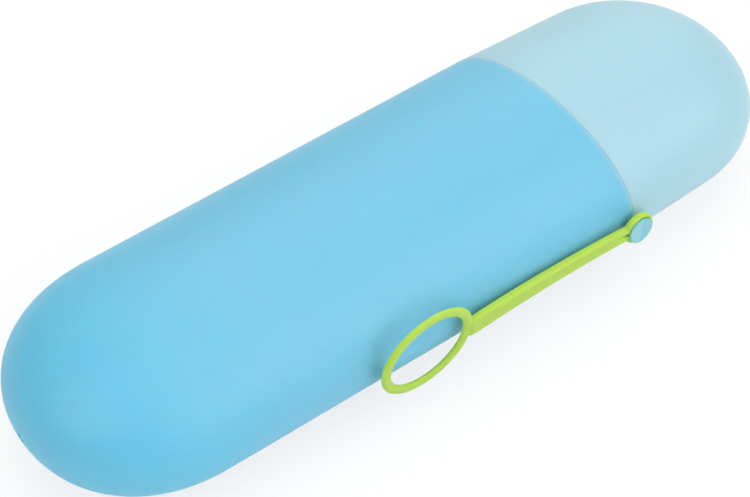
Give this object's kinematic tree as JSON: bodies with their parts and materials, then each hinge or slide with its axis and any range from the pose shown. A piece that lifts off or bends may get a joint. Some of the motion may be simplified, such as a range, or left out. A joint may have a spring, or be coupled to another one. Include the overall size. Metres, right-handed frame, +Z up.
{
  "type": "toothbrush case",
  "caption": "Flattened capsule case in two sliding shells for toothbrushes, with a soft strap and ring buttoned on a side stud.",
  "frame": {"origin": "on the line that the case rests on, under the middle of its length and of its width (the strap and stud left out)", "axes": "+X along the case towards the cap, -Y towards the side with the stud and strap, +Z up"},
  "size_m": [0.21, 0.0731, 0.0402],
  "materials": {
    "sleeve_plastic": "fine satin moulded surface, mid blue",
    "cap_plastic": "fine satin moulded surface, pale blue, slightly milky",
    "strap_rubber": "soft matte silicone, lime green"
  },
  "bodies": {
    "sleeve": {"outer_sleeve": "sleeve_plastic"},
    "cap": {"cap": "cap_plastic"},
    "strap": {"strap": "strap_rubber"}
  },
  "joints": [
    {"name": "cap_slide", "type": "slide", "parent": "sleeve", "child": "cap", "axis": [1, 0, 0], "range_m": [0, 0.09]},
    {"name": "strap_swing", "type": "hinge", "parent": "cap", "child": "strap", "pos_m": [0.0457, -0.03657, 0.0201], "axis": [0, 1, 0], "continuous": true}
  ]
}
